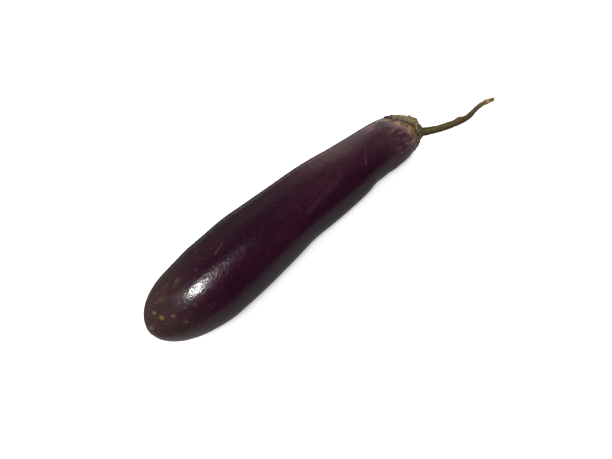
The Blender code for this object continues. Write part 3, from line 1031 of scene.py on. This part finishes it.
def calyx_material(look):
    """A greenish cap with pale ribs, their tops partly a painted highlight, painted shade in the grooves
    and round the top of the collar, flanks dried brown, dead dark tips and a dark collar.
    """
    material, shade, finish = new_material("eggplant_calyx")
    place = shade.reading("place")
    dry = shade.reading("dry", 2)
    ridge = shade.reading("ridge", 2)
    along = shade.node("ShaderNodeSeparateXYZ", {"Vector": place})
    fibre = shade.noise(place, (0.16, 1.3, 1.3), 4.0, 0.65)
    blotch = shade.noise(place, (0.22, 0.35, 0.35), 3.0)
    grain = shade.noise(place, (1.6, 2.6, 2.6), 3.0, 0.6)
    drying = dry + (blotch - 0.5) * 0.5 + (fibre - 0.5) * 0.30
    knots = shade.noise(place, (0.45, 0.45, 0.45), 2.0).rise(0.58, 0.66) * along.rise(14.0, 24.0)
    layers = (
        (along.rise(7.5, 5.0), look.collar),
        # Painted shade round the top of the collar, where the stem stands.
        (along.rise(0.6, -0.2) * blotch.rise(0.3, 0.5), COLLAR_TOP_PAINTED_SHADE),
        # The rib tops: partly their own paler green, partly a painted highlight.
        (ridge.rise(0.10, 0.60) * drying.rise(0.85, 0.5), look.crest_and_highlight),
        # Painted shade in the grooves between the ribs.
        (ridge.rise(-0.05, -0.40) * 0.85, CAP_GROOVE_PAINTED_SHADE),
        (fibre.rise(0.48, 0.34) * 0.60, CAP_FIBRE),
        (fibre.rise(0.53, 0.66) * drying.rise(1.0, 0.5) * along.rise(5.0, 9.0) * 0.50, look.crest_and_highlight),
        (blotch.rise(0.54, 0.62) * 0.7, CAP_BLOTCH),
        (drying.rise(0.78, 1.0) * 0.9, look.dead),
        (knots * 0.8, look.dead),
    )
    colour = shade.over(shade.mix(drying.rise(0.15, 0.45), look.green, look.brown), layers)
    fine = shade.bump(grain, 0.0001, 0.5)
    normal = shade.bump(fibre, 0.0003, 0.7, fine)
    roughness = 0.58 + drying.clear() * 0.22
    finish(Base_Color=colour, Roughness=roughness, Normal=normal, Specular_IOR_Level=0.35)
    return material


# ---------------------------------------------------------------- the stem


def build_stem(look):
    """A crooked stalk: rings along its line, each with the radius there times one plus uneven
    lengthwise ridges, a bud scar on its upper side, and a frayed end."""
    crown, axis, _, _ = (part[0] for part in centre_frame(np.array([1.0])))
    route = np.vstack((crown + axis * STEM_FOOT, STEM_LINE))
    legs = np.linalg.norm(np.diff(route, axis=0), axis=1)
    places = np.concatenate(([0.0], np.cumsum(legs))) / legs.sum()
    spots = np.linspace(0, 1, STEM_RINGS)
    line, heading = line_and_heading(places, route, spots)
    own_way = eased(spots, 0.0, STEM_EASE)[:, None]
    forward = unit(heading * own_way + axis * (1 - own_way))
    sideways, upward = across(forward)
    angles = turn(STEM_SIDES)[None, :]
    shares = spots[:, None]

    twist = angles + STEM_TWIST * shares
    ridge = waves(twist, RIDGE_WAVES)
    radius = np.interp(spots, STEM_SPOTS, STEM_RADII)[:, None]
    bud_share, bud_length, bud_angle, bud_width, bud_height = BUD
    bud_off = ((shares - bud_share) / bud_length) ** 2 + (turned(angles, bud_angle) / bud_width) ** 2
    knob_share, knob_length, knob_height = KNOB
    knob = np.exp(-(((shares - knob_share) / knob_length) ** 2)) * np.cos(2 * angles + 0.5)
    knot_length, knot_height, knot_seed = KNOTS
    run = shares * STEM_LENGTH
    knot_place = np.stack(np.broadcast_arrays(run, np.cos(angles), np.sin(angles)), -1)
    knots = knot_height * ripple(knot_place, knot_length, knot_seed)
    frayed = eased(shares, 0.93, 1.0) * waves(angles, FRAY_WAVES)
    radius = radius + ridge * look.ridge_height / MM * eased(shares, 0.0, 0.05)
    radius = radius + bud_height * np.exp(-bud_off) + knob * knob_height + knots + frayed

    around = outward(sideways[:, None], upward[:, None], angles[..., None])
    pull = eased(shares, 0.97, 1.0) * waves(angles, PULL_WAVES)
    rings = line[:, None] + around * radius[..., None] + forward[:, None] * pull[..., None]
    place = np.stack(np.broadcast_arrays(run, 3 * np.cos(twist), 3 * np.sin(twist)), -1)
    readings = {"place": place, "ridge": ridge + 0 * shares, "share": shares + 0 * angles}
    return add_piece("eggplant_stem", rings, readings, stem_material(look), "stem")


def stem_material(look):
    """Olive bark with greyer ridges, painted shade in the grooves and in a band past the bud, a purplish
    foot and a pale torn end.
    """
    material, shade, finish = new_material("eggplant_stem")
    place = shade.reading("place")
    ridge = shade.reading("ridge", 2)
    share = shade.reading("share", 2)
    fibre = shade.noise(place, (0.12, 1.6, 1.6), 4.0, 0.65)
    blotch = shade.noise(place, (0.14, 0.5, 0.5), 3.0)
    grain = shade.noise(place, (2.0, 3.0, 3.0), 3.0, 0.6)
    # Painted shade: a darker band just past the bud.
    past_bud_shade = share.rise(0.47, 0.53) * share.rise(0.68, 0.60)
    paler = share.rise(0.72, 0.88) * fibre.rise(0.30, 0.55)
    torn = (share + (fibre - 0.5) * 0.03).rise(0.875, 0.890)
    tip = (share + (fibre - 0.5) * 0.02).rise(0.915, 0.935)
    layers = (
        (ridge.rise(0.2, 1.0) * 0.4, STEM_RIDGE),
        # Painted shade in the grooves between the ridges.
        (ridge.rise(0.0, -0.8) * 0.75, STEM_GROOVE_PAINTED_SHADE),
        (fibre.rise(0.50, 0.36) * 0.65, STEM_FIBRE),
        (share.rise(0.055, 0.02) * 0.6, STEM_BASE),
        (past_bud_shade * 0.50, PAST_BUD_PAINTED_SHADE),
        (paler * 0.80, STEM_PALE),
        (torn * fibre.rise(0.25, 0.45), look.torn),
        (tip * 0.85, TORN_TIP),
    )
    colour = shade.over(shade.mix(blotch.rise(0.36, 0.64), look.olive, look.bark), layers)
    fine = shade.bump(grain, 0.0001, 0.5)
    normal = shade.bump(fibre, 0.0003, 0.8, fine)
    finish(Base_Color=colour, Roughness=0.66 + fibre * 0.2, Normal=normal, Specular_IOR_Level=0.2)
    return material


# ---------------------------------------------------------------- the stage


def direction(azimuth, elevation):
    """The direction at an azimuth from +X and an elevation, in degrees."""
    turned_by, raised_by = math.radians(azimuth), math.radians(elevation)
    flat = math.cos(raised_by)
    return Vector((flat * math.cos(turned_by), flat * math.sin(turned_by), math.sin(raised_by)))


def in_frame(point):
    """A point in the construction's own place, as a place in the frame in metres."""
    return Vector((np.array(point) + SHIFT) * MM)


def ray_kinds(shade):
    """1 for gloss, for diffuse and for camera rays, as three terms, and the length of the ray."""
    path = shade.node("ShaderNodeLightPath", {})
    outputs = path.socket.node.outputs
    names = ("Is Glossy Ray", "Is Diffuse Ray", "Is Camera Ray", "Ray Length")
    return [Term(shade, outputs[name]) for name in names]


def add_floor(look):
    """A wide level floor, just under the part. It throws back only part of the light, and gloss
    sees it pale close by, dark further off, and bright again far out on the bright side."""
    signs = ((-1, -1), (1, -1), (1, 1), (-1, 1))
    corners = [(x * FLOOR_HALF, y * FLOOR_HALF, -FLOOR_DROP) for x, y in signs]
    data = bpy.data.meshes.new("floor")
    data.from_pydata(corners, [], [(0, 1, 2, 3)])
    material, shade, finish = new_material("floor")
    gloss, diffuse, seen, length = ray_kinds(shade)
    place = shade.node("ShaderNodeTexCoord", {}, "Object")
    out = shade.toward(place, BRIGHT_SIDE)
    behind = shade.node("ShaderNodeSeparateXYZ", {"Vector": place}, "Y").rise(-0.05, 0.05)
    near = length.rise(0.085, 0.030)
    close_by, beyond, at_back, far_out = FLOOR_MIRRORED
    mirrored = near * close_by + (1 - near) * (beyond + behind * at_back + out.rise(0.31, 0.46) * far_out)
    share = (1 - gloss - diffuse) + diffuse * FLOOR_BOUNCE + gloss * mirrored
    finish(
        Base_Color=shade.mix(1.0, look.floor, shade.grey(share), "MULTIPLY"), Roughness=0.9,
        Emission_Color=shade.mix(seen, (0.0, 0.0, 0.0), look.floor), Emission_Strength=FLOOR_GLOW,
        Specular_IOR_Level=0.0,
    )
    data.materials.append(material)
    floor = bpy.data.objects.new("floor", data)
    bpy.context.scene.collection.objects.link(floor)


def add_sky(look):
    """Even pale light all round. Gloss sees a dim room with one bright side."""
    world = bpy.data.worlds.new("studio")
    world.use_nodes = True
    bpy.context.scene.world = world
    shade = Shade(world.node_tree)
    gloss, _, seen, _ = ray_kinds(shade)
    way = shade.node("ShaderNodeTexCoord", {}, "Generated")
    behind = shade.node("ShaderNodeSeparateXYZ", {"Vector": way}, "Y").rise(-0.3, 0.5)
    bright = shade.toward(way, BRIGHT_SIDE).rise(0.66, 1.0)
    room = 0.03 + behind * 0.09 + bright * 1.15
    background = world.node_tree.nodes["Background"]
    shade.feed(background.inputs["Color"], shade.mix(gloss, (1.0, 1.0, 0.995), (1.0, 0.99, 0.86)))
    lit = look.sky * (0.16 + shade.toward(way, SKY_SIDE).rise(-0.3, 1.0) * 1.9)
    shade.feed(background.inputs["Strength"], lit * (1 - gloss - seen) + room * gloss + seen)


def add_lamps(look):
    """The key, up beside the camera, which the belly near the blossom end mirrors, and fainter
    lamps that only gloss sees: a smaller one in it, two along its trail and a wide one round it."""
    for place, (azimuth, elevation, width, height, share, lights) in enumerate(LAMPS):
        light = bpy.data.lights.new("lamp", "AREA")
        light.energy = look.key_power * share
        light.shape = "RECTANGLE"
        light.size = width * MM
        light.size_y = height * MM
        lamp = bpy.data.objects.new("lamp", light)
        lamp.visible_diffuse = lights
        way = direction(azimuth, elevation)
        lamp.location = in_frame(LAMP_AIM) + way * (LAMP_DISTANCE + LAMP_STEP * place) * MM
        lamp.rotation_euler = way.to_track_quat("Z", "Y").to_euler()
        bpy.context.scene.collection.objects.link(lamp)


def add_camera(look):
    """The camera looks along a heading at a point of the fruit, rolled about its own axis."""
    data = bpy.data.cameras.new("camera")
    data.lens = look.lens
    data.sensor_width = 36.0
    data.clip_start = 0.01
    camera = bpy.data.objects.new("camera", data)
    back = direction(CAMERA_AZIMUTH, CAMERA_ELEVATION)
    place = in_frame(CAMERA_AIM) + back * CAMERA_DISTANCE * MM
    upright = back.to_track_quat("Z", "Y").to_matrix().to_4x4()
    roll = Matrix.Rotation(math.radians(CAMERA_ROLL), 4, "Z")
    camera.matrix_world = Matrix.Translation(place) @ upright @ roll
    bpy.context.scene.collection.objects.link(camera)
    bpy.context.scene.camera = camera


# ---------------------------------------------------------------- operators and panel


class EGGPLANT_OT_stage(bpy.types.Operator):
    """Add the floor, the even light, the lamps and the camera"""

    bl_idname = "eggplant.stage"
    bl_label = "Stage"

    def execute(self, context):
        look = context.scene.eggplant_stage
        context.scene.view_settings.view_transform = "Standard"
        for add in (add_floor, add_sky, add_lamps, add_camera):
            add(look)
        return {"FINISHED"}


class EGGPLANT_OT_fruit(bpy.types.Operator):
    """Build the fruit's skin in place of its CAD node"""

    bl_idname = "eggplant.fruit"
    bl_label = "Fruit"

    def execute(self, context):
        build_fruit(context.scene.eggplant_skin)
        return {"FINISHED"}


class EGGPLANT_OT_calyx(bpy.types.Operator):
    """Build the calyx in place of its CAD node"""

    bl_idname = "eggplant.calyx"
    bl_label = "Calyx"

    def execute(self, context):
        build_calyx(context.scene.eggplant_calyx)
        return {"FINISHED"}


class EGGPLANT_OT_stem(bpy.types.Operator):
    """Build the stem in place of its CAD node"""

    bl_idname = "eggplant.stem"
    bl_label = "Stem"

    def execute(self, context):
        build_stem(context.scene.eggplant_stem)
        return {"FINISHED"}


SETTINGS = (
    ("eggplant_skin", SkinSettings),
    ("eggplant_calyx", CalyxSettings),
    ("eggplant_stem", StemSettings),
    ("eggplant_stage", StageSettings),
)
OPERATORS = (EGGPLANT_OT_stage, EGGPLANT_OT_fruit, EGGPLANT_OT_calyx, EGGPLANT_OT_stem)


class EGGPLANT_PT_parts(bpy.types.Panel):
    """Every setting, and a button for each piece"""

    bl_idname = "EGGPLANT_PT_parts"
    bl_label = "Eggplant"
    bl_space_type = "VIEW_3D"
    bl_region_type = "UI"
    bl_category = "Eggplant"

    def draw(self, context):
        for operator in OPERATORS:
            self.layout.operator(operator.bl_idname)
        for name, group in SETTINGS:
            box = self.layout.box()
            for label in group.__annotations__:
                box.prop(getattr(context.scene, name), label)


def register():
    """Add the settings, the operators and the panel."""
    for name, group in SETTINGS:
        bpy.utils.register_class(group)
        setattr(bpy.types.Scene, name, PointerProperty(type=group))
    for item in (*OPERATORS, EGGPLANT_PT_parts):
        bpy.utils.register_class(item)


def unregister():
    """Take them away again, in the opposite order."""
    for item in (EGGPLANT_PT_parts, *reversed(OPERATORS)):
        bpy.utils.unregister_class(item)
    for name, group in reversed(SETTINGS):
        delattr(bpy.types.Scene, name)
        bpy.utils.unregister_class(group)


def main():
    """Register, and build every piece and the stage."""
    register()
    bpy.ops.eggplant.stage()
    bpy.ops.eggplant.fruit()
    bpy.ops.eggplant.calyx()
    bpy.ops.eggplant.stem()
    bpy.context.view_layer.update()


if __name__ == "__main__":
    main()
